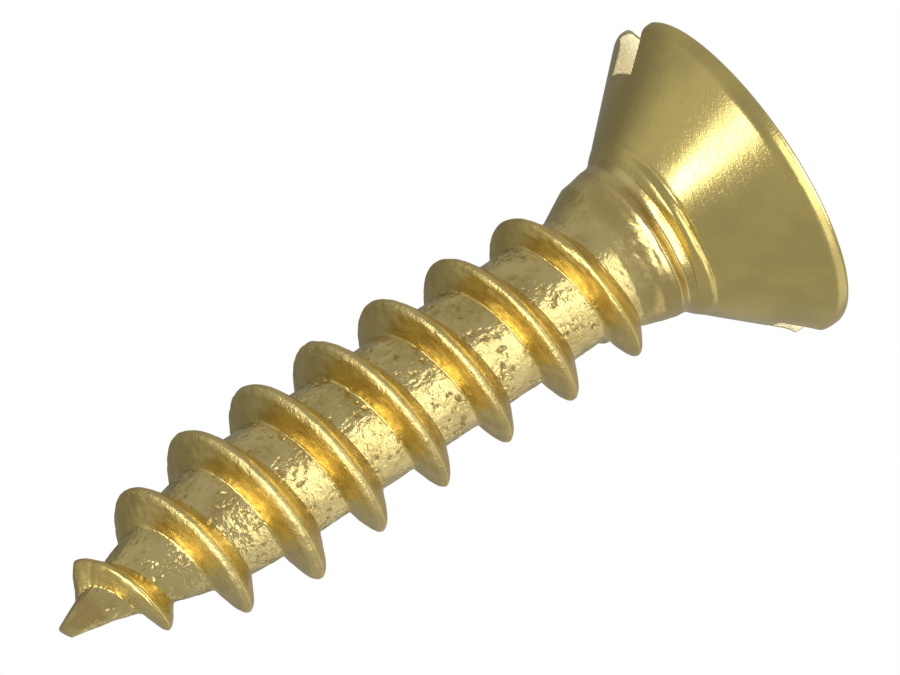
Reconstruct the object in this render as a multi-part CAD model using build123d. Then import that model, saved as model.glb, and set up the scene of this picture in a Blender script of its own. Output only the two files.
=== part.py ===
from build123d import *
import os
from math import atan, cos, pi, radians, sin, sqrt, tan

# Slotted countersunk wood screw in brass, size No. 8 by 3/4 inch.
# Frame: +Z runs along the axis from the tip to the head. The origin is on the axis in the
# plane of the head's flat top, so the whole screw hangs below it. The driver slot runs along X.

# ---- driving dimensions, millimetres ----
LENGTH = 17.9             # overall, head top to tip

HEAD_R = 3.83             # over the rim land
HEAD_LAND = 0.34          # height of the cylindrical rim land
HEAD_EDGE_R = 0.10        # rounding between the flat top and the land
RIM_ROUND_R = 0.26        # rounding between the land and the cone
HEAD_ANGLE = 82.0         # included angle of the countersink, degrees
SLOT_W = 1.10
SLOT_DEPTH = 1.14
SLOT_FLOOR_R = 0.10       # rounding where the slot's floor meets its walls

JUNCTION_R = 1.90         # where the cone meets the neck
NECK_R = 1.72             # waist of the neck, just above the thread
NECK_LENGTH = 0.87        # cone to waist
RAMP_LENGTH = 0.72        # waist down to the thread's root

PITCH = 25.4 / 15         # fifteen threads to the inch
ROOT_R = 1.365
CREST_R = 2.11            # at the point end of the parallel stretch
CREST_R_NECK = 1.94       # the ridge is slightly lower by the neck
CREST_LAND = 0.12         # width of the blunt crest
FLANK_TIP_ANGLE = 20.0    # between the tip side flank and a plane across the axis, degrees
FLANK_HEAD_ANGLE = 25.0   # the same on the head side

POINT_LENGTH = 4.01       # cone of the gimlet point
POINT_BLEND_R = 8.0       # rounding between that cone and the straight core
TIP_R = 0.16              # blunt end of the point
CREST_TAPER_LENGTH = 5.12 # stretch over which the crest grows from the tip to full size
CREST_TAPER_POWER = 1.8   # how quickly it grows

CREST_PHASE = 0.587       # crest height at X+, in pitches above a whole pitch from the origin
THREAD_START = 0.28       # crest centre above the tip where the ridge begins
THREAD_END = 3.45         # crest centre below the head's top where the ridge has run out
LEAD_IN_TURNS = 0.25      # the ridge rises out of the point over this
RUN_OUT_TURNS = 0.42      # and sinks into the neck over this
END_HEIGHT = 0.02         # height of the ridge at its two ends
STATIONS_PER_TURN = 24    # cross sections that the ridge's long faces run through

# ---- heights worked out from them ----
HEAD_CONE_H = (HEAD_R - JUNCTION_R) / tan(radians(HEAD_ANGLE / 2))
Z_JUNCTION = -HEAD_LAND - HEAD_CONE_H
Z_WAIST = Z_JUNCTION - NECK_LENGTH
Z_CORE_TOP = Z_WAIST - RAMP_LENGTH
Z_TIP = -LENGTH
Z_POINT_TOP = Z_TIP + POINT_LENGTH
POINT_ANGLE = atan((ROOT_R - TIP_R) / POINT_LENGTH)
BLEND_TANGENT = POINT_BLEND_R * tan(POINT_ANGLE / 2)
Z_BLEND_TOP = Z_POINT_TOP + BLEND_TANGENT
Z_BLEND_BASE = Z_POINT_TOP - BLEND_TANGENT * cos(POINT_ANGLE)
Z_CORE_BASE = Z_BLEND_TOP + 0.1


def turned(*outline):
    """Revolve a closed outline of (radius, height) points about Z."""
    return revolve(make_face(Polyline([(r, 0, z) for r, z in outline], close=True)), Axis.Z)


def make_head():
    blank = turned(
        (0, 0), (HEAD_R, 0), (HEAD_R, -HEAD_LAND), (JUNCTION_R, Z_JUNCTION), (0, Z_JUNCTION)
    )
    blank = fillet(blank.edges().filter_by(GeomType.CIRCLE).group_by(Axis.Z)[-2], RIM_ROUND_R)
    blank = fillet(blank.edges().filter_by(GeomType.CIRCLE).group_by(Axis.Z)[-1], HEAD_EDGE_R)
    cutter = Box(3 * HEAD_R, SLOT_W, 2 * SLOT_DEPTH)
    floor_edges = cutter.edges().filter_by(Axis.X).group_by(Axis.Z)[0]
    return blank - fillet(floor_edges, SLOT_FLOOR_R)


def make_neck():
    return turned(
        (0, Z_JUNCTION), (JUNCTION_R, Z_JUNCTION), (NECK_R, Z_WAIST), (ROOT_R, Z_CORE_TOP), (0, Z_CORE_TOP)
    )


def make_core():
    return turned((0, Z_CORE_TOP), (ROOT_R, Z_CORE_TOP), (ROOT_R, Z_CORE_BASE), (0, Z_CORE_BASE))


def make_gimlet_point():
    point = turned(
        (0, Z_CORE_BASE), (ROOT_R, Z_CORE_BASE), (ROOT_R, Z_POINT_TOP), (TIP_R, Z_TIP), (0, Z_TIP)
    )
    shoulder = point.edges().filter_by(GeomType.CIRCLE).group_by(Axis.Z)[1]
    return fillet(shoulder, POINT_BLEND_R)


def smooth_step(share):
    share = min(max(share, 0.0), 1.0)
    return share * share * (3 - 2 * share)


def shank_radius(z):
    """Radius of the neck, core and point, which the ridge stands on, at height z."""
    if z > Z_WAIST:
        return NECK_R + (JUNCTION_R - NECK_R) * (z - Z_WAIST) / NECK_LENGTH
    if z > Z_CORE_TOP:
        return ROOT_R + (NECK_R - ROOT_R) * (z - Z_CORE_TOP) / RAMP_LENGTH
    if z > Z_BLEND_TOP:
        return ROOT_R
    if z > Z_BLEND_BASE:
        return ROOT_R - POINT_BLEND_R + sqrt(POINT_BLEND_R**2 - (Z_BLEND_TOP - z) ** 2)
    return TIP_R + (ROOT_R - TIP_R) * (z - Z_TIP) / POINT_LENGTH


def crest_radius(z):
    """Radius of the ridge's crest, let down at both ends until it all but meets the shank."""
    grown = min((z - Z_TIP) / CREST_TAPER_LENGTH, 1.0)
    along = max(z - Z_TIP - CREST_TAPER_LENGTH, 0.0) / (LENGTH - THREAD_END - CREST_TAPER_LENGTH)
    parallel = CREST_R + (CREST_R_NECK - CREST_R) * along
    full = TIP_R + (parallel - TIP_R) * (1 - (1 - grown) ** CREST_TAPER_POWER)
    lead_in = smooth_step((z - Z_TIP - THREAD_START) / (LEAD_IN_TURNS * PITCH))
    run_out = smooth_step((-THREAD_END - z) / (RUN_OUT_TURNS * PITCH))
    metal = shank_radius(z) + END_HEIGHT
    return metal + (full - metal) * lead_in * run_out


def flank_foot(crest, z, side, angle):
    """Follow a flank from the crest's edge down to the shank: its (radius, height) there."""
    foot = z
    for _ in range(20):
        foot = z + side * (crest - shank_radius(foot)) * tan(radians(angle))
    return shank_radius(foot), foot


def ridge_section(z):
    """Corners of the ridge as (radius, height), tip side first, with its crest at height z."""
    crest = crest_radius(z)
    below, above = z - CREST_LAND / 2, z + CREST_LAND / 2
    return [
        flank_foot(crest, below, -1, FLANK_TIP_ANGLE),
        (crest, below),
        (crest, above),
        flank_foot(crest, above, 1, FLANK_HEAD_ANGLE),
    ]


def make_thread():
    z_start, z_end = Z_TIP + THREAD_START, -THREAD_END
    count = round((z_end - z_start) / PITCH * STATIONS_PER_TURN)
    sections = []
    for i in range(count + 1):
        z = z_start + (z_end - z_start) * i / count
        angle = 2 * pi * (z / PITCH - CREST_PHASE)
        sections.append([Vector(r * cos(angle), r * sin(angle), h) for r, h in ridge_section(z)])
    shares = [i / count for i in range(count + 1)]
    rails = [
        Edge.make_spline([section[corner] for section in sections], parameters=shares)
        for corner in range(4)
    ]
    sides = [Face.make_surface_from_curves(rails[(i + 1) % 4], rails[i]) for i in range(4)]
    ends = [Face(Wire.make_polygon(section, close=True)) for section in (sections[0], sections[-1])]
    return Solid(Shell(sides + ends))


def main():
    os.makedirs("parts", exist_ok=True)
    nodes = {
        "head": make_head(),
        "neck": make_neck(),
        "core": make_core(),
        "thread": make_thread(),
        "gimlet_point": make_gimlet_point(),
    }
    for name, solid in nodes.items():
        export_step(solid, f"parts/{name}.step")
        print(name, "valid", solid.is_valid, "volume", round(solid.volume, 3))


main()
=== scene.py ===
from math import atan2, cos, exp, pi, radians, sin, sqrt, tan

import bmesh
import bpy
from mathutils import Matrix, Vector, noise


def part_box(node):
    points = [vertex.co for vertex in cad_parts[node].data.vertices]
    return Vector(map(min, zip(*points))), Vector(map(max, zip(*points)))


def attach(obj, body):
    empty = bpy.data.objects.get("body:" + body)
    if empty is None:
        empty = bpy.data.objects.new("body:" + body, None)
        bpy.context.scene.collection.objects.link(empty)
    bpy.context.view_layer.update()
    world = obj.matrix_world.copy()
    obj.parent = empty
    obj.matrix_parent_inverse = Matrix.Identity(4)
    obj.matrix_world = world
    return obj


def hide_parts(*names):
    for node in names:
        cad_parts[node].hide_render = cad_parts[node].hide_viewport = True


# Slotted countersunk wood screw in solid brass. Shapes are worked out in millimetres and turned
# to metres when a piece is finished. +Z runs from the tip to the head, and the head's flat top
# is at height 0. "Round" is an angle in degrees about the axis, right-handed about +Z, measured
# from the side of the screw that faces the camera.

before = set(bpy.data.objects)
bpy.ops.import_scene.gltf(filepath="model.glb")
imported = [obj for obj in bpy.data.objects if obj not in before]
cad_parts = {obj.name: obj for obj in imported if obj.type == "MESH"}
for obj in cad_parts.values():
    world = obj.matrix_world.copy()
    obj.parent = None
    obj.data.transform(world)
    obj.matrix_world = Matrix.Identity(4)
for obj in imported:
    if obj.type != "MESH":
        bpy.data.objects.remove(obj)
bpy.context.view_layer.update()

MM = 0.001


def node_box(node):
    """Lowest and highest corner of a CAD node in millimetres."""
    low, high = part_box(node)
    return low / MM, high / MM


head_low, head_high = node_box("head")
neck_low, neck_high = node_box("neck")
core_low, core_high = node_box("core")
point_low = node_box("gimlet_point")[0]

# ---- sizes from the frame, millimetres ----
HEAD_R = head_high.y
Z_JUNCTION = head_low.z           # where the head's cone meets the neck
JUNCTION_R = neck_high.y
Z_CORE_TOP = neck_low.z
Z_CORE_BASE = core_low.z
Z_TIP = point_low.z
ROOT_R = core_high.y

# ---- sizes that the frame's boxes don't give, as in the part's own source ----
HEAD_LAND = 0.34                  # height of the rim land
SLOT_W = 1.10
SLOT_DEPTH = 1.14
PITCH = 25.4 / 15                 # fifteen threads to the inch
POINT_LENGTH = 4.01
POINT_BLEND_R = 8.0               # rounding between the point's cone and the straight core
TIP_R = 0.16                      # blunt end of the point
CREST_R = 2.11                    # of the ridge, at the point end of its parallel stretch
CREST_R_NECK = 1.94               # and by the neck
CREST_TAPER_LENGTH = 5.12         # the crest grows from the tip to full size over this
CREST_TAPER_POWER = 1.8           # how quickly it grows
CREST_PHASE = 0.587               # crest height at X+, in pitches above a whole pitch from 0
THREAD_START = 0.28               # above the tip, where the ridge begins
THREAD_END = 3.45                 # below the head's top, where the ridge has run out
LEAD_IN_TURNS = 0.25              # the ridge rises out of the point over this
RUN_OUT_TURNS = 0.42              # and sinks into the neck over this

Z_POINT_TOP = Z_TIP + POINT_LENGTH
POINT_SLOPE = (ROOT_R - TIP_R) / POINT_LENGTH
POINT_ANGLE = atan2(ROOT_R - TIP_R, POINT_LENGTH)
BLEND_TANGENT = POINT_BLEND_R * tan(POINT_ANGLE / 2)
Z_BLEND_TOP = Z_POINT_TOP + BLEND_TANGENT
Z_BLEND_BASE = Z_POINT_TOP - BLEND_TANGENT * cos(POINT_ANGLE)
CONE_SLOPE = (HEAD_R - JUNCTION_R) / (-HEAD_LAND - Z_JUNCTION)

# ---- the worn head ----
HEAD_EDGE_R = 0.12                # rounding of the top edge, a little more than when new
RIM_ROUND = 0.40                  # rounding between the cone and the rim land
SLOT_EDGE = 0.035                 # rounding of the slot's sawn edges
EDGE_CUTS = (1.0, 0.45, 0.12, 0.0)  # where that rounding gets mesh edges, in shares of it
EDGE_FLOOR_GAP = 0.02             # the edges are rounded down to this far above the slot's floor
WEAR_DOWN = 0.28                  # the rim by the slot's ends is rubbed down by this
WEAR_IN = 0.030                   # and in, by this share of its distance from the axis
WEAR_SPREAD = 0.45                # the wear dies away from the slot over this
WEAR_NEAR_LOBE = 0.25             # share of it on the lobe that is nearer the camera
WEAR_HEIGHTS = (-0.75, -0.15)     # it grows from nothing to all between these heights,
WEAR_IN_REACH = (2.6, 3.6)        # and between these distances along the slot for the wear in
WEAR_DOWN_REACH = (3.0, 3.8)      # and these for the wear down

# ---- the neck, swaged unevenly and with rings of metal squeezed up by the forging ----
Z_NECK_FOOT = -4.7                # the shank is plain below this
Z_RINGS_BASE = -3.9               # the rings start here on the neck
Z_RINGS_FULL = -3.6               # and are full from here
Z_RINGS_FADE = -2.1               # to here, on the head's cone
Z_RINGS_TOP = -1.9                # and end here
# Height on the axis, half width, and how far the metal stands out (or in, where it is negative).
NECK_RINGS = [
    (-2.94, 0.10, 0.070), (-2.70, 0.11, -0.060), (-2.42, 0.11, 0.100), (-2.23, 0.05, -0.045),
    (-3.25, 0.16, -0.035), (-3.10, 0.05, 0.010), (-2.80, 0.05, 0.010),
]
RINGS_BEHIND = 0.12               # share of the rings that is left on the far side of the screw
RINGS_ROUND = 15                  # they are strongest on this side
RINGS_DRIFT = 0.05                # they wander along the axis by this
RINGS_UNEVEN = 0.5                # and vary in strength by this share
UPPER_ROUND = -100                # the upper side of the lopsided neck
# Height and radius where the neck changes slope: on its upper side, and on the sides below that.
NECK_UPPER = [(-4.19, ROOT_R), (-3.44, 1.74), (-2.72, 1.83), (Z_JUNCTION, JUNCTION_R)]
NECK_LOWER = [
    (-4.64, ROOT_R), (-4.52, 1.46), (-3.76, 1.54), (-3.16, 1.75), (-2.72, 1.84),
    (Z_JUNCTION, JUNCTION_R),
]

# ---- the ridge as it is rolled ----
FLANK_TIP = tan(radians(17.0))    # lean of its tip side flank, width over height
FLANK_HEAD = tan(radians(25.0))   # the same on the head side
CREST_ROUND = 0.18                # how far the crest's rounding reaches
FOOT_ROUND = 0.02                 # blend where a flank meets the root
FOOT_DEPTH = 0.12                 # the ridge's foot ends this far inside the shank
CREST_SINK = 0.02                 # the crest's two ends are this far inside the shank
REACH_TIP = 0.42                  # the ridge's section reaches this far towards the tip
REACH_HEAD = 0.50                 # and this far towards the head
SHRINK_POWER = 0.6                # a low ridge is narrower by this power of its height
SHRINK_RANGE = (0.12, 1.1)        # heights, as shares of the full one, that this holds between
UNEVEN_BY_NECK = 0.09             # the crest runs out of true by this much by the neck
UNEVEN_NECK_BAND = (-8.0, -5.0)   # from nothing to all of it between these heights
UNEVEN_BY_POINT = 0.08            # and by this much where the point begins
UNEVEN_POINT_HUMP = (-12.9, 1.3)  # most at this height, and dying away over this
RAGGED_CREST = 0.020              # roughness of the crest
RAGGED_BAND = (0.40, 0.75)        # from nothing to all of it between these ridge heights
WANDER = 0.020                    # the ridge wanders along the axis by this
FLANK_RIPPLE = 0.012              # ripple of the flanks along the axis
RIPPLE_BAND = (0.03, 0.2)         # from nothing to all of it between these ridge heights
Z_FIN = -16.85                    # on its first turn the crest peaks into a fin, here
FIN_PEAK = 0.18                   # the fin stands this much above the crest
FIN_REACH = 0.17                  # and reaches this far each way, measured along the axis
FIN_SHIFT = 0.03                  # the turns by the tip are this much nearer the head
FIN_SHIFT_BAND = (-15.6, -16.1)   # from nothing to all of it between these heights
LAY_R = 1.7                       # radius at which length along the thread is measured

# ---- the rolled skin of the shank ----
LUMP_HEIGHT = 0.026
FINE_HEIGHT = 0.010
ROUGH_PATCHES = (-0.30, 0.15)     # noise levels where the skin goes from smooth to rough
PIT_LEVELS = (0.22, 0.50)         # and where a pit goes from its edge to its floor
PIT_DEPTH = 0.034
GROOVE_LEVEL = 0.09               # grooves run where the noise is within this of its middle
GROOVE_STEEPNESS = 11             # brings that to a groove share of about 0 to 1
GROOVE_DEPTH = 0.018
GROOVE_DIRT = 0.6                 # share of a pit's dirt that a groove holds
CRUMPLE_HEIGHT = 0.035            # of the metal by the tip
CRUMPLE_BAND = (-14.6, -16.4)     # from nothing to all of it between these heights
Z_SKIN_END = -4.1                 # above this the neck was forged, not rolled
SKIN_FADE = 0.4
SKIN_SMOOTHED = 0.8               # share of the skin that the neck has lost
FOOT_SKIN_FADE = 0.07             # height over which it fades on a flank

# ---- the bent tip ----
TIP_BEND = 0.13                   # the very tip is pushed sideways by this
TIP_BEND_LENGTH = 1.3             # over this much of the point
TIP_BEND_POWER = 1.6              # how sharply it bends
TIP_SHEAR = 0.5                   # slope of the sheared end
TIP_SHEAR_START = -0.1            # the slope starts this far to the side of the axis
TIP_SHEAR_POWER = 4               # how quickly it dies away up the point

CAMERA_SIDE = radians(260.0)      # from +X to the side that faces the camera, about +Z
QUARTER = radians(90)

# ---- how fine the meshes are, millimetres and radians ----
ARCS = 8                          # a revolved piece is swept as this many equal arcs
ARC_STEPS = 36                    # mesh steps in each
RIDGE_STEPS = 54                  # mesh steps in a quarter turn of the ridge
SHANK_STEP = 0.036
NECK_STEP = 0.0252
SECTION_STEP = 0.021              # across the ridge's section
CONE_STEP = 0.12
RING_STEP = 0.022                 # on the part of the cone that the rings reach
FLAT_STEP = 0.4
EDGE_TURN = 0.25                  # round the head's top edge
RIM_TURN = 0.09                   # round its rim
SMOOTH_ANGLE = 35.0               # edges are shaded smooth up to this, in degrees
SMOOTH_CREST_ANGLE = 60.0         # and on the ragged ridge up to this
WELD = 1e-4                       # points closer than this become one
CUT = 1e-5                        # a plane cuts no edge nearer to its end than this
TOUCHING = 1e-3                   # points closer than this to a wall or floor are in it
AXIS_R = 0.02                     # points nearer the axis than this are middles of end faces
LEAST_R = 0.01                    # the ridge's foot comes no nearer the axis than this


# =============================== the shank's form ===============================

def smooth_step(share):
    share = min(max(share, 0.0), 1.0)
    return share * share * (3 - 2 * share)


def between(x, low, high):
    """0 below low, 1 above high, and a smooth step from one to the other."""
    return smooth_step((x - low) / (high - low))


def hump(x, centre, width):
    """A round hump of height 1 at centre."""
    return exp(-((x - centre) / width) ** 2)


def side_share(angle, round_degrees):
    """1 on the side of the screw at round_degrees, falling smoothly to 0 a quarter turn away."""
    return smooth_step(cos(angle - CAMERA_SIDE - radians(round_degrees)))


def through(points, x):
    """Value at x of straight lines through (x, value) points with rising x."""
    if x <= points[0][0]:
        return points[0][1]
    for (x0, y0), (x1, y1) in zip(points, points[1:]):
        if x <= x1:
            return y0 + (y1 - y0) * (x - x0) / (x1 - x0)
    return points[-1][1]


def lumps_at(place, per_mm, corner=(0, 0, 0)):
    """Smooth noise from -1 to 1, with per_mm cells to a millimetre. Another corner, other lumps."""
    return noise.noise(place * per_mm + Vector(corner))


def shank_radius(z, angle):
    """Radius of the plain metal under the ridge: neck, straight core and point."""
    if z > Z_NECK_FOOT:
        upper = side_share(angle, UPPER_ROUND)
        return upper * through(NECK_UPPER, z) + (1 - upper) * through(NECK_LOWER, z)
    if z > Z_BLEND_TOP:
        return ROOT_R
    if z > Z_BLEND_BASE:
        return ROOT_R - POINT_BLEND_R + sqrt(POINT_BLEND_R**2 - (Z_BLEND_TOP - z) ** 2)
    return TIP_R + POINT_SLOPE * max(z - Z_TIP, 0.0)


def crest_radius(z, angle):
    """Radius of the ridge's crest, let down at both ends until it sinks into the shank."""
    grown = min(max((z - Z_TIP) / CREST_TAPER_LENGTH, 0.0), 1.0)
    along = max(z - Z_TIP - CREST_TAPER_LENGTH, 0.0) / (-Z_TIP - THREAD_END - CREST_TAPER_LENGTH)
    parallel = CREST_R + (CREST_R_NECK - CREST_R) * min(along, 1.0)
    full = TIP_R + (parallel - TIP_R) * (1 - (1 - grown) ** CREST_TAPER_POWER)
    uneven = UNEVEN_BY_NECK * between(z, *UNEVEN_NECK_BAND)
    uneven += UNEVEN_BY_POINT * hump(z, *UNEVEN_POINT_HUMP)
    full += uneven * cos(angle - CAMERA_SIDE - QUARTER)
    full += FIN_PEAK * max(0.0, 1 - abs(z - Z_FIN) / FIN_REACH)
    lead_in = smooth_step((z - Z_TIP - THREAD_START) / (LEAD_IN_TURNS * PITCH))
    run_out = smooth_step((-THREAD_END - z) / (RUN_OUT_TURNS * PITCH))
    sunk = shank_radius(z, angle) - CREST_SINK
    return sunk + (full - sunk) * lead_in * run_out


def crest_height_near(z, angle):
    """Height of the crest line at this angle about the axis that lies nearest to z."""
    turn = angle / (2 * pi) + CREST_PHASE
    return (round(z / PITCH - turn) + turn) * PITCH


def neck_rings(z, angle):
    """How far the rings of metal squeezed up where the head was forged stand out of the neck."""
    outward = Vector((cos(angle), sin(angle), 0))
    wavy = 1 + RINGS_UNEVEN * noise.noise(Vector((outward.x * 3.1, outward.y * 3.1, z * 2.0)))
    strength = RINGS_BEHIND + (1 - RINGS_BEHIND) * side_share(angle, RINGS_ROUND)
    z -= RINGS_DRIFT * lumps_at(outward, 1.6, (0, 0, 4))
    return sum(stand * hump(z, centre, width) for centre, width, stand in NECK_RINGS) * strength * wavy


def rolled_skin(place):
    """Pitted skin of the root between the ridges: height in mm, and how deep a pit goes, 0 to 1."""
    lumps = lumps_at(place, 1.9) * 0.6 + lumps_at(place, 4.3) * 0.4
    crackle = lumps_at(place, 7.5, (7, 3, 5))
    fine = lumps_at(place, 14.0, (1, 8, 2))
    rough_patch = between(lumps_at(place, 2.3, (2, 9, 4)), *ROUGH_PATCHES)
    grooves = max(0.0, GROOVE_LEVEL - abs(crackle)) * GROOVE_STEEPNESS * rough_patch
    pit = between(crackle, *PIT_LEVELS) * rough_patch
    height = LUMP_HEIGHT * lumps + FINE_HEIGHT * fine * rough_patch
    height -= PIT_DEPTH * pit + GROOVE_DEPTH * grooves
    crumpled = between(place.z, *CRUMPLE_BAND)
    height += crumpled * CRUMPLE_HEIGHT * (lumps_at(place, 2.6) + lumps_at(place, 5.0))
    return height, min(1.0, pit + GROOVE_DIRT * grooves)


# =============================== mesh tools ===============================

def swept(outline, closed, steps, arc_angle, arc_rise, arcs):
    """Sweep an outline of (radius, height) points round and up Z, as equal arcs welded together."""
    bm = bmesh.new()
    verts = [bm.verts.new((r, 0, z)) for r, z in outline]
    edges = [bm.edges.new(pair) for pair in zip(verts, verts[1:] + (verts[:1] if closed else []))]
    bmesh.ops.spin(
        bm, geom=verts + edges, cent=(0, 0, 0), axis=(0, 0, 1), dvec=(0, 0, arc_rise / steps),
        angle=arc_angle, steps=steps, use_merge=False, use_duplicate=False,
    )
    first = bm.verts[:] + bm.edges[:] + bm.faces[:]
    for i in range(1, arcs):
        made = bmesh.ops.duplicate(bm, geom=first)["geom"]
        copied = [g for g in made if isinstance(g, bmesh.types.BMVert)]
        turn = Matrix.Rotation(arc_angle * i, 3, "Z")
        bmesh.ops.rotate(bm, verts=copied, cent=(0, 0, 0), matrix=turn)
        bmesh.ops.translate(bm, verts=copied, vec=(0, 0, arc_rise * i))
    bmesh.ops.remove_doubles(bm, verts=bm.verts, dist=WELD)
    return bm


def revolved(outline):
    """A solid of revolution from an outline that starts and ends on the axis."""
    return swept(outline, False, ARC_STEPS, 2 * pi / ARCS, 0.0, ARCS)


def polar(co):
    """Distance from the axis, and angle about it."""
    return sqrt(co.x * co.x + co.y * co.y), atan2(co.y, co.x)


def set_polar(vert, radius, angle):
    vert.co.x = radius * cos(angle)
    vert.co.y = radius * sin(angle)


def on_root(angle, z):
    """The point of the straight core's surface at this angle, where the skin's pattern is read."""
    return Vector((ROOT_R * cos(angle), ROOT_R * sin(angle), z))


def evenly(start, end, step):
    """Numbers from start to end, both included, about step apart."""
    count = max(1, round(abs(end - start) / step))
    return [start + (end - start) * i / count for i in range(count + 1)]


def bend_tip(bm):
    """Bend the last of the point sideways and shear its end, as on a used or dropped screw."""
    side_x = cos(CAMERA_SIDE + QUARTER)
    side_y = sin(CAMERA_SIDE + QUARTER)
    for vert in bm.verts:
        share = max(0.0, (Z_TIP + TIP_BEND_LENGTH - vert.co.z) / TIP_BEND_LENGTH)
        up_slope = max(0.0, vert.co.x * side_x + vert.co.y * side_y - TIP_SHEAR_START)
        vert.co.z += TIP_SHEAR * up_slope * share**TIP_SHEAR_POWER
        push = TIP_BEND * share**TIP_BEND_POWER
        vert.co.x += push * side_x
        vert.co.y += push * side_y


def finish_piece(bm, name, node, material, smooth_angle=SMOOTH_ANGLE):
    """Turn a bmesh in millimetres into a piece in metres that stands for a CAD node."""
    bmesh.ops.recalc_face_normals(bm, faces=bm.faces)
    bmesh.ops.scale(bm, vec=(MM, MM, MM), verts=bm.verts)
    mesh = bpy.data.meshes.new(name)
    bm.to_mesh(mesh)
    bm.free()
    mesh.shade_smooth()
    mesh.set_sharp_from_angle(angle=radians(smooth_angle))
    mesh.materials.append(material)
    piece = bpy.data.objects.new(name, mesh)
    bpy.context.scene.collection.objects.link(piece)
    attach(piece, "root")
    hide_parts(node)
    return piece


# =============================== materials ===============================

HEAD_CLEAN = "#F0D986"
HEAD_DULL = "#DFCB80"
HEAD_SPECK = "#CDB468"
# near white: a painted highlight for the slot's walls and floor, not the metal's own colour
SLOT_PAINTED_HIGHLIGHT = "#FFF6D2"
SHANK_CLEAN = "#F1DC94"
SHANK_DULL = "#E0CA84"
SHANK_STAIN = "#B89A55"
SHANK_SWAGED = "#D6BE7A"
TIP_STAIN = "#CBAB6C"
PIT_DIRT = "#B08A4A"
FLANK_CLEAN = "#F0D886"
FLANK_DULL = "#E2C878"
FLANK_SPOT = "#A58646"
CREST_RUBBED = "#E0D09A"
FLOOR_WHITE = "#F2F2F0"
PURE_WHITE = "#FFFFFF"

# Settings that nodes share. A Mix node's colour sockets are numbered, because their names repeat.
SMOOTH = {"interpolation_type": "SMOOTHSTEP"}
PLUS = {"operation": "ADD"}
TIMES = {"operation": "MULTIPLY"}
COLOURS = {"data_type": "RGBA", "output": 2}
SHARE, UNDER, OVER = 0, 6, 7


def linear(hex_colour):
    """An sRGB hex colour as linear RGBA."""
    parts = [int(hex_colour[i:i + 2], 16) / 255 for i in (1, 3, 5)]
    return [c / 12.92 if c <= 0.04045 else ((c + 0.055) / 1.055) ** 2.4 for c in parts] + [1.0]


def add(tree, kind, *inputs, named=None, output=0, **settings):
    """Add a shader node with its settings and links, and give back one of its outputs.

    Inputs come in the node's own order, or by name or number. Each is a value, an sRGB hex colour
    or another node's output.
    """
    node = tree.nodes.new("ShaderNode" + kind)
    for key, value in settings.items():
        setattr(node, key, value)
    for key, value in [*enumerate(inputs), *(named or {}).items()]:
        if isinstance(value, bpy.types.NodeSocket):
            tree.links.new(value, node.inputs[key])
        else:
            node.inputs[key].default_value = linear(value) if isinstance(value, str) else value
    return node.outputs[output] if node.outputs else None


def new_material(name):
    material = bpy.data.materials.new(name)
    material.use_nodes = True
    material.node_tree.nodes.clear()
    return material, material.node_tree


def per_metre(size):
    """Scale of a noise whose features are size millimetres across."""
    return 1 / (size * MM)


def drawn_out(*lengths):
    """Mapping scale that makes a pattern this many times longer along each axis."""
    return [1 / length for length in lengths]


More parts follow.
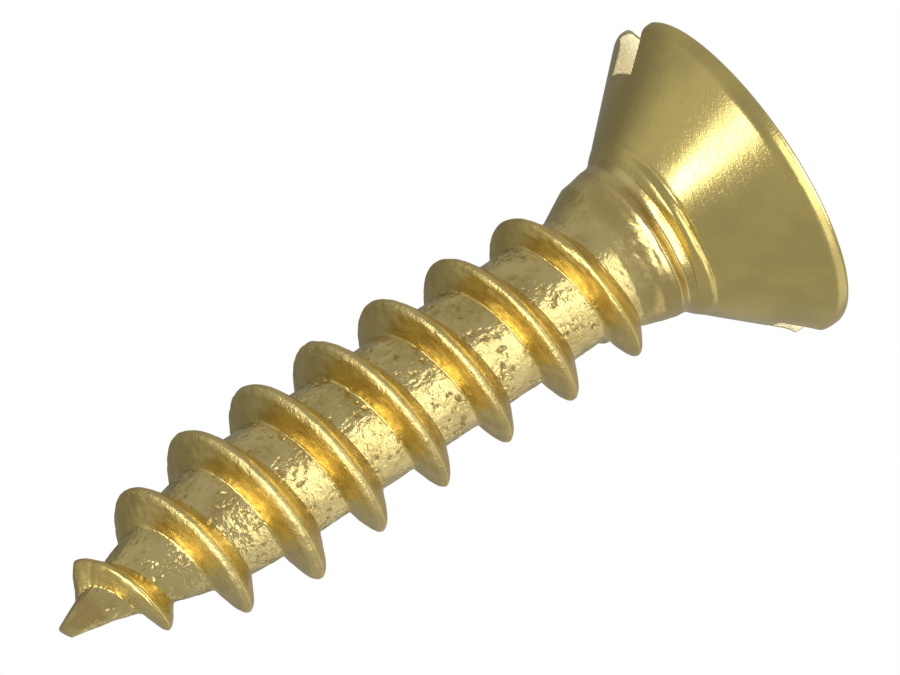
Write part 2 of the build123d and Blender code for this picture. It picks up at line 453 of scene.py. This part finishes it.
def tumbled_brass():
    """The head: brass dulled evenly by tumbling, with fine crossing scratches and a fresh slot cut by a
    saw.

    The face gives soft, wide highlights. The slot is coloured nearly white beside it, as a painted
    highlight. Real scratches from tumbling are finer than these, which are as coarse as they need to
    be to show.
    """
    material, tree = new_material("tumbled brass")
    place = add(tree, "TexCoord", output="Object")
    clouds = add(tree, "TexNoise", named={"Vector": place, "Scale": per_metre(1.3), "Detail": 2.0})
    specks = add(tree, "TexNoise", named={"Vector": place, "Scale": per_metre(0.06), "Detail": 3.0})

    lie_a = add(tree, "Mapping", named={
        "Vector": place, "Rotation": (0.5, 0.3, 0.0), "Scale": drawn_out(14, 1, 14)})
    lie_b = add(tree, "Mapping", named={
        "Vector": place, "Rotation": (0.0, 0.6, 0.4), "Scale": drawn_out(1, 1, 12)})
    fine_a = add(tree, "TexNoise", named={"Vector": lie_a, "Scale": per_metre(0.035), "Detail": 1.0})
    fine_b = add(tree, "TexNoise", named={"Vector": lie_b, "Scale": per_metre(0.045), "Detail": 1.0})
    scratch_a = add(tree, "MapRange", fine_a, 0.56, 0.70, **SMOOTH)
    scratch_b = add(tree, "MapRange", fine_b, 0.58, 0.72, **SMOOTH)
    scratches = add(tree, "Math", scratch_a, scratch_b, **PLUS)

    dulled = add(tree, "MapRange", clouds, 0.35, 0.65, **SMOOTH)
    colour = add(tree, "Mix", named={SHARE: dulled, UNDER: HEAD_CLEAN, OVER: HEAD_DULL}, **COLOURS)
    speckled = add(tree, "MapRange", specks, 0.55, 0.75, 0.0, 0.35, **SMOOTH)
    colour = add(tree, "Mix", named={SHARE: speckled, UNDER: colour, OVER: HEAD_SPECK}, **COLOURS)
    clouded = add(tree, "MapRange", clouds, 0.3, 0.7, 0.19, 0.25, **SMOOTH)
    rough = add(tree, "Math", clouded, add(tree, "Math", scratches, 0.05, **TIMES), **PLUS)

    # the slot, with saw lines along it, rougher, and coloured near white as a painted highlight; all
    # this reaches just past the walls and the floor
    off_middle = add(tree, "Math", add(tree, "SeparateXYZ", place, output="Y"), operation="ABSOLUTE")
    height = add(tree, "SeparateXYZ", place, output="Z")
    past_wall = (SLOT_W / 2 + 0.004) * MM
    past_floor = -(SLOT_DEPTH + 0.01) * MM
    in_width = add(tree, "Math", off_middle, past_wall, operation="LESS_THAN")
    in_depth = add(tree, "Math", height, past_floor, operation="GREATER_THAN")
    sawn_and_painted_highlight = add(tree, "Math", in_width, in_depth, **TIMES)
    lie = add(tree, "Mapping", named={"Vector": place, "Scale": drawn_out(30, 1, 1)})
    saw = add(tree, "TexNoise", named={"Vector": lie, "Scale": per_metre(0.05), "Detail": 2.0})
    saw_lines = add(tree, "Math", saw, sawn_and_painted_highlight, **TIMES)
    # painted highlight: the slot's walls and floor are coloured near white to look brightly lit
    colour = add(tree, "Mix", named={SHARE: sawn_and_painted_highlight, UNDER: colour, OVER: SLOT_PAINTED_HIGHLIGHT}, **COLOURS)
    rough = add(tree, "Math", rough, add(tree, "Math", sawn_and_painted_highlight, 0.42, **TIMES), **PLUS)

    normal = add(tree, "Bump", named={"Height": specks, "Distance": 0.0016 * MM})
    normal = add(tree, "Bump", named={
        "Height": scratches, "Distance": 0.0008 * MM, "Normal": normal})
    normal = add(tree, "Bump", named={"Height": saw_lines, "Distance": 0.006 * MM, "Normal": normal})
    bare_metal(tree, colour, rough, normal)
    return material


def rolled_brass():
    """The shank: brass squeezed by the thread rolls, bright, pitted, and stained in the pits.

    It mirrors the lights sharply, broken up by the pitted skin. Where it was forged and swaged
    under the head, and not rolled, it is duller and smoother.
    """
    material, tree = new_material("rolled brass")
    place = add(tree, "TexCoord", output="Object")
    height = add(tree, "SeparateXYZ", place, output="Z")
    pit = add(tree, "Attribute", attribute_name="pit", output="Fac")
    clouds = add(tree, "TexNoise", named={"Vector": place, "Scale": per_metre(0.7), "Detail": 2.0})
    crackle = add(tree, "TexNoise", named={"Vector": place, "Scale": per_metre(0.10), "Detail": 3.0})
    fine = add(tree, "TexNoise", named={"Vector": place, "Scale": per_metre(0.035), "Detail": 2.0})
    forged = add(tree, "MapRange", height, -4.4 * MM, -3.7 * MM, **SMOOTH)
    swaged = add(tree, "MapRange", height, -3.75 * MM, -3.45 * MM, 0.0, 0.7, **SMOOTH)
    by_tip = add(tree, "MapRange", height, -16.9 * MM, -16.1 * MM, 0.4, 0.0, **SMOOTH)

    dulled = add(tree, "MapRange", clouds, 0.4, 0.7, **SMOOTH)
    colour = add(tree, "Mix", named={SHARE: dulled, UNDER: SHANK_CLEAN, OVER: SHANK_DULL}, **COLOURS)
    cracked = add(tree, "MapRange", crackle, 0.42, 0.66, **SMOOTH)
    clouded = add(tree, "MapRange", clouds, 0.42, 0.62, **SMOOTH)
    stain = add(tree, "Math", add(tree, "Math", cracked, clouded, **TIMES), 0.3, **TIMES)
    colour = add(tree, "Mix", named={SHARE: stain, UNDER: colour, OVER: SHANK_STAIN}, **COLOURS)
    dirt = add(tree, "Math", pit, 0.45, **TIMES)
    colour = add(tree, "Mix", named={SHARE: dirt, UNDER: colour, OVER: PIT_DIRT}, **COLOURS)
    swage_clouds = add(tree, "MapRange", clouds, 0.2, 0.5, **SMOOTH)
    swaged = add(tree, "Math", swaged, swage_clouds, **TIMES)
    colour = add(tree, "Mix", named={SHARE: swaged, UNDER: colour, OVER: SHANK_SWAGED}, **COLOURS)
    tip_clouds = add(tree, "MapRange", clouds, 0.35, 0.6, **SMOOTH)
    tip_stain = add(tree, "Math", by_tip, tip_clouds, **TIMES)
    colour = add(tree, "Mix", named={SHARE: tip_stain, UNDER: colour, OVER: TIP_STAIN}, **COLOURS)

    cracked = add(tree, "MapRange", crackle, 0.35, 0.7, 0.10, 0.20, **SMOOTH)
    rough = add(tree, "Math", cracked, add(tree, "Math", pit, 0.10, **TIMES), **PLUS)
    rough = add(tree, "Math", rough, add(tree, "Math", forged, 0.11, **TIMES), **PLUS)

    # the skin is calmer by the tip and on the neck
    rolled = add(tree, "MapRange", height, -16.2 * MM, -14.8 * MM, 0.35, 1.0, **SMOOTH)
    smoothed = add(tree, "Math", forged, 0.75, **TIMES)
    depth = add(tree, "Math", rolled, smoothed, operation="SUBTRACT")
    crackle = add(tree, "Math", crackle, depth, **TIMES)
    fine = add(tree, "Math", fine, depth, **TIMES)
    normal = add(tree, "Bump", named={"Height": crackle, "Distance": 0.022 * MM})
    normal = add(tree, "Bump", named={"Height": fine, "Distance": 0.004 * MM, "Normal": normal})
    bare_metal(tree, colour, rough, normal)
    return material


def flank_brass():
    """The ridge: rolled flanks with marks along the thread, and a crest that is rubbed dull.

    The flanks are smooth enough to mirror each other, which deepens their colour to gold, and the
    crest is paler and beaded, where the rolls squeezed the last of the metal out.
    """
    material, tree = new_material("thread brass")
    place = add(tree, "TexCoord", output="Object")
    lay = add(tree, "Attribute", attribute_name="lay", output="Vector")
    lift = add(tree, "SeparateXYZ", lay, output="Y")
    pit = add(tree, "Attribute", attribute_name="pit", output="Fac")
    drawn = add(tree, "Mapping", named={"Vector": lay, "Scale": drawn_out(9, 1, 1)})
    streaks = add(tree, "TexNoise", named={"Vector": drawn, "Scale": per_metre(0.06), "Detail": 2.0})
    clouds = add(tree, "TexNoise", named={"Vector": place, "Scale": per_metre(0.5), "Detail": 2.0})
    specks = add(tree, "TexNoise", named={"Vector": place, "Scale": per_metre(0.07), "Detail": 3.0})
    crest = add(tree, "MapRange", lift, 0.52 * MM, 0.70 * MM, **SMOOTH)

    dulled = add(tree, "MapRange", clouds, 0.35, 0.65, **SMOOTH)
    colour = add(tree, "Mix", named={SHARE: dulled, UNDER: FLANK_CLEAN, OVER: FLANK_DULL}, **COLOURS)
    spots = add(tree, "Math", add(tree, "MapRange", specks, 0.60, 0.74, **SMOOTH), 0.5, **TIMES)
    colour = add(tree, "Mix", named={SHARE: spots, UNDER: colour, OVER: FLANK_SPOT}, **COLOURS)
    dirt = add(tree, "Math", pit, 0.35, **TIMES)
    colour = add(tree, "Mix", named={SHARE: dirt, UNDER: colour, OVER: PIT_DIRT}, **COLOURS)
    rubbed = add(tree, "Math", crest, 0.4, **TIMES)
    colour = add(tree, "Mix", named={SHARE: rubbed, UNDER: colour, OVER: CREST_RUBBED}, **COLOURS)

    streaked = add(tree, "MapRange", streaks, 0.35, 0.7, 0.26, 0.36, **SMOOTH)
    rough = add(tree, "Math", streaked, add(tree, "Math", crest, 0.14, **TIMES), **PLUS)

    beaded = add(tree, "MapRange", lift, 0.42 * MM, 0.62 * MM, 0.04, 1.0, **SMOOTH)
    beads = add(tree, "Math", specks, beaded, **TIMES)
    normal = add(tree, "Bump", named={"Height": streaks, "Distance": 0.0035 * MM})
    normal = add(tree, "Bump", named={"Height": beads, "Distance": 0.022 * MM, "Normal": normal})
    bare_metal(tree, colour, rough, normal)
    return material


def bare_metal(tree, colour, rough, normal):
    """End a material as metal with nothing on it."""
    shader = add(tree, "BsdfPrincipled", named={
        "Metallic": 1.0, "Base Color": colour, "Roughness": rough, "Normal": normal})
    add(tree, "OutputMaterial", shader)


# =============================== pieces ===============================

def weather(bm):
    """Give every outside vertex of a revolved piece its skin, its rings and its pit share."""
    pit_layer = bm.verts.layers.float.new("pit")
    for vert in bm.verts:
        radius, angle = polar(vert.co)
        if radius < AXIS_R:
            continue
        z = vert.co.z
        height, pit = rolled_skin(on_root(angle, z))
        share = 1.0 - SKIN_SMOOTHED * between(z, Z_SKIN_END - SKIN_FADE, Z_SKIN_END)
        radius += height * share * min(1.0, radius / ROOT_R)
        radius += neck_rings(z, angle) * between(z, Z_RINGS_BASE, Z_RINGS_FULL)
        set_polar(vert, radius, angle)
        vert[pit_layer] = pit * share


def set_radii(bm):
    """Put outside vertices of a revolved piece on the shank's uneven form."""
    for vert in bm.verts:
        radius, angle = polar(vert.co)
        if radius > AXIS_R:
            set_polar(vert, shank_radius(vert.co.z, angle), angle)


def make_core(material):
    heights = evenly(Z_CORE_BASE, Z_CORE_TOP, SHANK_STEP)
    bm = revolved([(0, Z_CORE_BASE)] + [(ROOT_R, z) for z in heights] + [(0, Z_CORE_TOP)])
    set_radii(bm)
    weather(bm)
    return finish_piece(bm, "core", "core", material)


def make_point(material):
    heights = evenly(Z_TIP, Z_CORE_BASE, SHANK_STEP)
    bm = revolved([(0, Z_TIP)] + [(shank_radius(z, 0), z) for z in heights] + [(0, Z_CORE_BASE)])
    weather(bm)
    bend_tip(bm)
    return finish_piece(bm, "gimlet_point", "gimlet_point", material)


def make_neck(material):
    heights = evenly(Z_CORE_TOP, Z_JUNCTION, NECK_STEP)
    bm = revolved([(0, Z_CORE_TOP)] + [(JUNCTION_R, z) for z in heights] + [(0, Z_JUNCTION)])
    set_radii(bm)
    weather(bm)
    return finish_piece(bm, "neck", "neck", material)


def head_outline():
    """The head's side from the middle of its top to the middle of its underside."""
    flat = [(r, 0) for r in evenly(0, HEAD_R - HEAD_EDGE_R, FLAT_STEP)[:-1]]
    top_edge = [
        (HEAD_R - HEAD_EDGE_R * (1 - sin(turn)), -HEAD_EDGE_R * (1 - cos(turn)))
        for turn in evenly(0, pi / 2, EDGE_TURN)
    ]
    lean = pi / 2 - atan2(1, CONE_SLOPE)
    z_rim = -HEAD_LAND + RIM_ROUND * tan(lean / 2)
    rim_edge = [
        (HEAD_R - RIM_ROUND * (1 - cos(turn)), z_rim - RIM_ROUND * sin(turn))
        for turn in evenly(0, lean, RIM_TURN)
    ]
    cone_heights = evenly(rim_edge[-1][1], Z_RINGS_TOP, CONE_STEP)[1:]
    cone_heights += evenly(Z_RINGS_TOP, Z_JUNCTION, RING_STEP)[1:]
    cone = [(JUNCTION_R + (z - Z_JUNCTION) * CONE_SLOPE, z) for z in cone_heights]
    return flat + top_edge + rim_edge + cone + [(0, Z_JUNCTION)]


def round_slot_edges(bm):
    """Let the mesh beside the slot fall away to a rounded edge, on the top, the rim and the cone."""
    half = SLOT_W / 2
    for vert in bm.verts:
        off = abs(vert.co.y) - half
        if not (-WELD < off < SLOT_EDGE and vert.co.z > -SLOT_DEPTH + EDGE_FLOOR_GAP):
            continue
        fall = SLOT_EDGE - sqrt(SLOT_EDGE**2 - (SLOT_EDGE - max(off, 0.0)) ** 2)
        outward = 1 if vert.co.x > 0 else -1
        if vert.co.z > -WELD:
            inward = Vector((0, 0, -1))
        elif vert.co.z > -HEAD_LAND:
            inward = Vector((-outward, 0, 0))
        else:
            inward = Vector((-outward, 0, 0.8))
        vert.co += inward.normalized() * fall


def cut_slot(bm):
    """Saw the driver slot: cut the mesh along it, drop the waste, round its edges, add three faces."""
    half = SLOT_W / 2
    for side in (-1, 1):
        for share in EDGE_CUTS:
            off = SLOT_EDGE * share
            bmesh.ops.bisect_plane(
                bm, geom=bm.verts[:] + bm.edges[:] + bm.faces[:], dist=CUT,
                plane_co=(0, side * (half + off), 0), plane_no=(0, side, 0),
            )
    strip = [f for f in bm.faces if abs(f.calc_center_median().y) < half]
    bounds = list({e for f in strip for e in f.edges} | {v for f in strip for v in f.verts})
    bmesh.ops.bisect_plane(
        bm, geom=bounds + strip, dist=CUT, plane_co=(0, 0, -SLOT_DEPTH), plane_no=(0, 0, 1),
    )
    waste = [
        f for f in bm.faces
        if abs(f.calc_center_median().y) < half and f.calc_center_median().z > -SLOT_DEPTH
    ]
    bmesh.ops.delete(bm, geom=waste, context="FACES")
    round_slot_edges(bm)

    def on_floor(vert):
        return abs(vert.co.z + SLOT_DEPTH) < TOUCHING

    open_edges = [e for e in bm.edges if e.is_boundary]
    floor_edges = []
    for side in (-1, 1):
        wall = [e for e in open_edges if all(abs(v.co.y - side * half) < TOUCHING for v in e.verts)]
        ends = sorted({v for e in wall for v in e.verts if on_floor(v)}, key=lambda v: v.co.x)
        floor_edge = bm.edges.new((ends[0], ends[-1]))
        floor_edges.append(floor_edge)
        bmesh.ops.contextual_create(bm, geom=wall + [floor_edge])
    arcs = [e for e in open_edges if all(on_floor(v) for v in e.verts)]
    bmesh.ops.contextual_create(bm, geom=arcs + floor_edges)


def wear_rim(bm):
    """Rub down the rim beside the two ends of the slot, most on the lobe away from the camera."""
    far = 1 if sin(CAMERA_SIDE) < 0 else -1
    for vert in bm.verts:
        reach = abs(vert.co.x)
        share = exp(-max(0.0, abs(vert.co.y) - SLOT_W / 2) / WEAR_SPREAD)
        share *= between(vert.co.z, *WEAR_HEIGHTS) * between(reach, *WEAR_IN_REACH)
        share *= 1.0 if vert.co.y * far > 0 else WEAR_NEAR_LOBE
        vert.co.z -= WEAR_DOWN * share * between(reach, *WEAR_DOWN_REACH)
        vert.co.x *= 1 - WEAR_IN * share


def make_head(material):
    bm = revolved(head_outline())
    for vert in bm.verts:
        radius, angle = polar(vert.co)
        if radius > AXIS_R and vert.co.z < Z_RINGS_TOP:
            radius += neck_rings(vert.co.z, angle) * between(vert.co.z, Z_RINGS_TOP, Z_RINGS_FADE)
            set_polar(vert, radius, angle)
    cut_slot(bm)
    wear_rim(bm)
    return finish_piece(bm, "head", "head", material)


def ridge_height(offset, crest):
    """Height of the ridge's side above the root, at an offset along the axis from the crest."""
    lean = FLANK_TIP if offset < 0 else FLANK_HEAD
    side = crest - (sqrt(offset * offset + CREST_ROUND**2) - CREST_ROUND) / lean
    return (side + sqrt(side * side + FOOT_ROUND * FOOT_ROUND * 4)) / 2


def form_ridge(bm, full):
    """Turn an even ridge of height full into the real one, and give it its pits and its lay.

    The lay is each vertex's place along the thread, up the flank and across the crest.
    """
    pit_layer = bm.verts.layers.float.new("pit")
    lay_layer = bm.verts.layers.float_vector.new("lay")
    least, most = SHRINK_RANGE
    for vert in bm.verts:
        radius, angle = polar(vert.co)
        outside = radius > ROOT_R
        crest_z = crest_height_near(vert.co.z, angle)
        size = (crest_radius(crest_z, angle) - shank_radius(crest_z, angle)) / full
        offset = (vert.co.z - crest_z) * min(max(size, least), most) ** SHRINK_POWER
        wander = WANDER * noise.noise(Vector((crest_z * 2.2, 3.0, 1.0)))
        z = crest_z + offset + wander * max(size, 0.0)
        z += FIN_SHIFT * between(crest_z, *FIN_SHIFT_BAND)

        height = (radius - ROOT_R) * (size if outside else 1.0)
        ragged = noise.noise(Vector((crest_z * 26.0, 1.0, 2.0)))
        ragged += noise.noise(Vector((crest_z * 9.0, 5.0, 2.0)))
        height += RAGGED_CREST * ragged * between(height, *RAGGED_BAND)
        lift, pit = rolled_skin(on_root(angle, z))
        skin = exp(-max(height, 0) / FOOT_SKIN_FADE) if outside else 1.0
        set_polar(vert, max(shank_radius(z, angle) + height, LEAST_R) + skin * lift, angle)
        vert.co.z = z
        vert.co.z += FLANK_RIPPLE * lumps_at(vert.co, 5.5) * between(height, *RIPPLE_BAND)
        vert[pit_layer] = pit * skin
        along = crest_z / PITCH * 2 * pi * LAY_R
        vert[lay_layer] = Vector((along, height, offset)) * MM


def make_thread(material):
    full = CREST_R - ROOT_R
    offsets = evenly(-REACH_TIP, REACH_HEAD, SECTION_STEP)
    section = [(-REACH_TIP, -FOOT_DEPTH)] + [(d, ridge_height(d, full)) for d in offsets]
    section += [(REACH_HEAD, -FOOT_DEPTH)]
    z_start = Z_TIP + THREAD_START
    quarters = round((-THREAD_END - z_start) / PITCH * 4)
    outline = [(ROOT_R + h, z_start + d) for d, h in section]
    bm = swept(outline, True, RIDGE_STEPS, QUARTER, PITCH / 4, quarters)
    start_angle = 2 * pi * (z_start / PITCH - CREST_PHASE)
    turned = Matrix.Rotation(start_angle, 3, "Z")
    bmesh.ops.rotate(bm, verts=bm.verts, cent=(0, 0, 0), matrix=turned)
    form_ridge(bm, full)
    for end in (z_start, z_start + quarters * PITCH / 4):
        near = [e for e in bm.edges if e.is_boundary and abs(e.verts[0].co.z - end) < PITCH / 2]
        bmesh.ops.contextual_create(bm, geom=near)
    bend_tip(bm)
    return finish_piece(bm, "thread", "thread", material, SMOOTH_CREST_ANGLE)


# =============================== studio ===============================

VIEW_ELEVATION = radians(-17.4)   # the camera looks up at the screw from the tip's side
AXIS_TILT = radians(34.04)        # of the screw's axis as the camera sees it, above the horizontal
CAMERA_DISTANCE = 332.0           # millimetres
CAMERA_LENS = 630.0
HEAD_RIGHT = 6.066                # the head's centre is this far right of the view's middle, mm
HEAD_UP = 3.514                   # and this far above it
SOFTBOX_DISTANCE = 0.35           # metres
FLOOR_HALF = 4.0                  # metres
FLOOR_Z = -0.8                    # metres, below all of the lights
FLOOR_GLOW = 0.6                  # keeps the floor as white as the backdrop
TENT_LEVEL = 0.385                # brightness of the white tent round the screw
TENT_DARK = 0.205                 # and where it is darkest
TENT_LIFT = 0.11                  # added where it is brightest

back = Vector((
    cos(VIEW_ELEVATION) * cos(CAMERA_SIDE), cos(VIEW_ELEVATION) * sin(CAMERA_SIDE), sin(VIEW_ELEVATION),
))
along = (Vector((0, 0, 1)) - back * back.z).normalized()
across = back.cross(along)
right = along * cos(AXIS_TILT) - across * sin(AXIS_TILT)
up = along * sin(AXIS_TILT) + across * cos(AXIS_TILT)


def direction_at(round_degrees, elevation):
    """Direction from the screw, by angle round from the camera's side and above its cross plane."""
    angle = CAMERA_SIDE + radians(round_degrees)
    level = cos(radians(elevation))
    return Vector((cos(angle) * level, sin(angle) * level, sin(radians(elevation))))


def make_camera():
    data = bpy.data.cameras.new("camera")
    data.lens = CAMERA_LENS
    camera = bpy.data.objects.new("camera", data)
    place = (back * CAMERA_DISTANCE - right * HEAD_RIGHT - up * HEAD_UP) * MM
    camera.matrix_world = Matrix.Translation(place) @ Matrix((right, up, back)).transposed().to_4x4()
    bpy.context.scene.collection.objects.link(camera)
    bpy.context.scene.camera = camera


def make_softbox(name, round_degrees, elevation, spread, radiance, lit=None):
    """An area light of a given radiance that spans spread degrees, (round the screw, along it).

    With lit it lights only those pieces, as if cards kept it off the rest.
    """
    aim = direction_at(round_degrees, elevation)
    beside = Vector((0, 0, 1)).cross(aim).normalized()
    above = aim.cross(beside)
    size = [2 * SOFTBOX_DISTANCE * tan(radians(s / 2)) for s in spread]
    data = bpy.data.lights.new(name, "AREA")
    data.shape = "RECTANGLE"
    data.size, data.size_y = size
    data.energy = radiance * pi * size[0] * size[1]
    light = bpy.data.objects.new(name, data)
    place = Vector((0, 0, Z_TIP / 2)) * MM + aim * SOFTBOX_DISTANCE
    light.matrix_world = Matrix.Translation(place) @ Matrix((beside, above, aim)).transposed().to_4x4()
    bpy.context.scene.collection.objects.link(light)
    if lit:
        receivers = bpy.data.collections.new(name + " lights")
        for piece in lit:
            receivers.objects.link(piece)
        light.light_linking.receiver_collection = receivers


def make_surroundings():
    """A white tent round the screw, uneven on its dark side, and a white backdrop."""
    world = bpy.data.worlds.new("studio")
    bpy.context.scene.world = world
    world.use_nodes = True
    tree = world.node_tree
    tree.nodes.clear()
    direction = add(tree, "TexCoord", output="Generated")
    dot = {"operation": "DOT_PRODUCT", "output": "Value"}
    to_dark = add(tree, "VectorMath", direction, direction_at(-150, -15), **dot)
    to_lifted = add(tree, "VectorMath", direction, direction_at(-88, -48), **dot)
    level = add(tree, "MapRange", to_dark, 0.55, 0.96, TENT_LEVEL, TENT_DARK, **SMOOTH)
    lift = add(tree, "MapRange", to_lifted, 0.72, 1.0, 0.0, TENT_LIFT, **SMOOTH)
    tent = add(tree, "Background", PURE_WHITE, add(tree, "Math", level, lift, **PLUS))
    backdrop = add(tree, "Background", PURE_WHITE, 1.0)
    seen = add(tree, "LightPath", output="Is Camera Ray")
    add(tree, "OutputWorld", add(tree, "MixShader", seen, tent, backdrop))


def make_floor():
    """A matt white floor far below, that adds no light and no reflection to the screw."""
    bm = bmesh.new()
    bmesh.ops.create_grid(bm, x_segments=1, y_segments=1, size=FLOOR_HALF)
    bmesh.ops.translate(bm, verts=bm.verts, vec=(0, 0, FLOOR_Z))
    mesh = bpy.data.meshes.new("floor")
    bm.to_mesh(mesh)
    bm.free()
    material, tree = new_material("matt white floor")
    shader = add(tree, "BsdfPrincipled", named={
        "Base Color": FLOOR_WHITE, "Roughness": 0.9,
        "Emission Color": PURE_WHITE, "Emission Strength": FLOOR_GLOW,
    })
    add(tree, "OutputMaterial", shader)
    mesh.materials.append(material)
    floor = bpy.data.objects.new("floor", mesh)
    bpy.context.scene.collection.objects.link(floor)
    floor.visible_glossy = False
    floor.visible_diffuse = False


def light_the_set(head, shank):
    """Softboxes by place: degrees round and up, degrees that each spans, and radiance."""
    make_softbox("softbox by the tip", -34, -62.4, (15, 22), 4.4)
    make_softbox("softbox by the head", 22, 20, (46, 30), 1.45)
    make_softbox("fill by the head", 60, 17.4, (30, 24), 0.85)
    make_softbox("far fill", 104, 17.4, (56, 30), 0.32)
    make_softbox("kicker for the thread", 30, -58, (56, 36), 3.8, shank)
    make_softbox("light down the slot", 45, 60, (36, 34), 4.5, [head])


def main():
    shank_metal = rolled_brass()
    head = make_head(tumbled_brass())
    shank = [make_neck(shank_metal), make_core(shank_metal), make_point(shank_metal)]
    shank.append(make_thread(flank_brass()))
    make_camera()
    make_surroundings()
    make_floor()
    light_the_set(head, shank)
    bpy.context.scene.view_settings.view_transform = "Standard"


main()
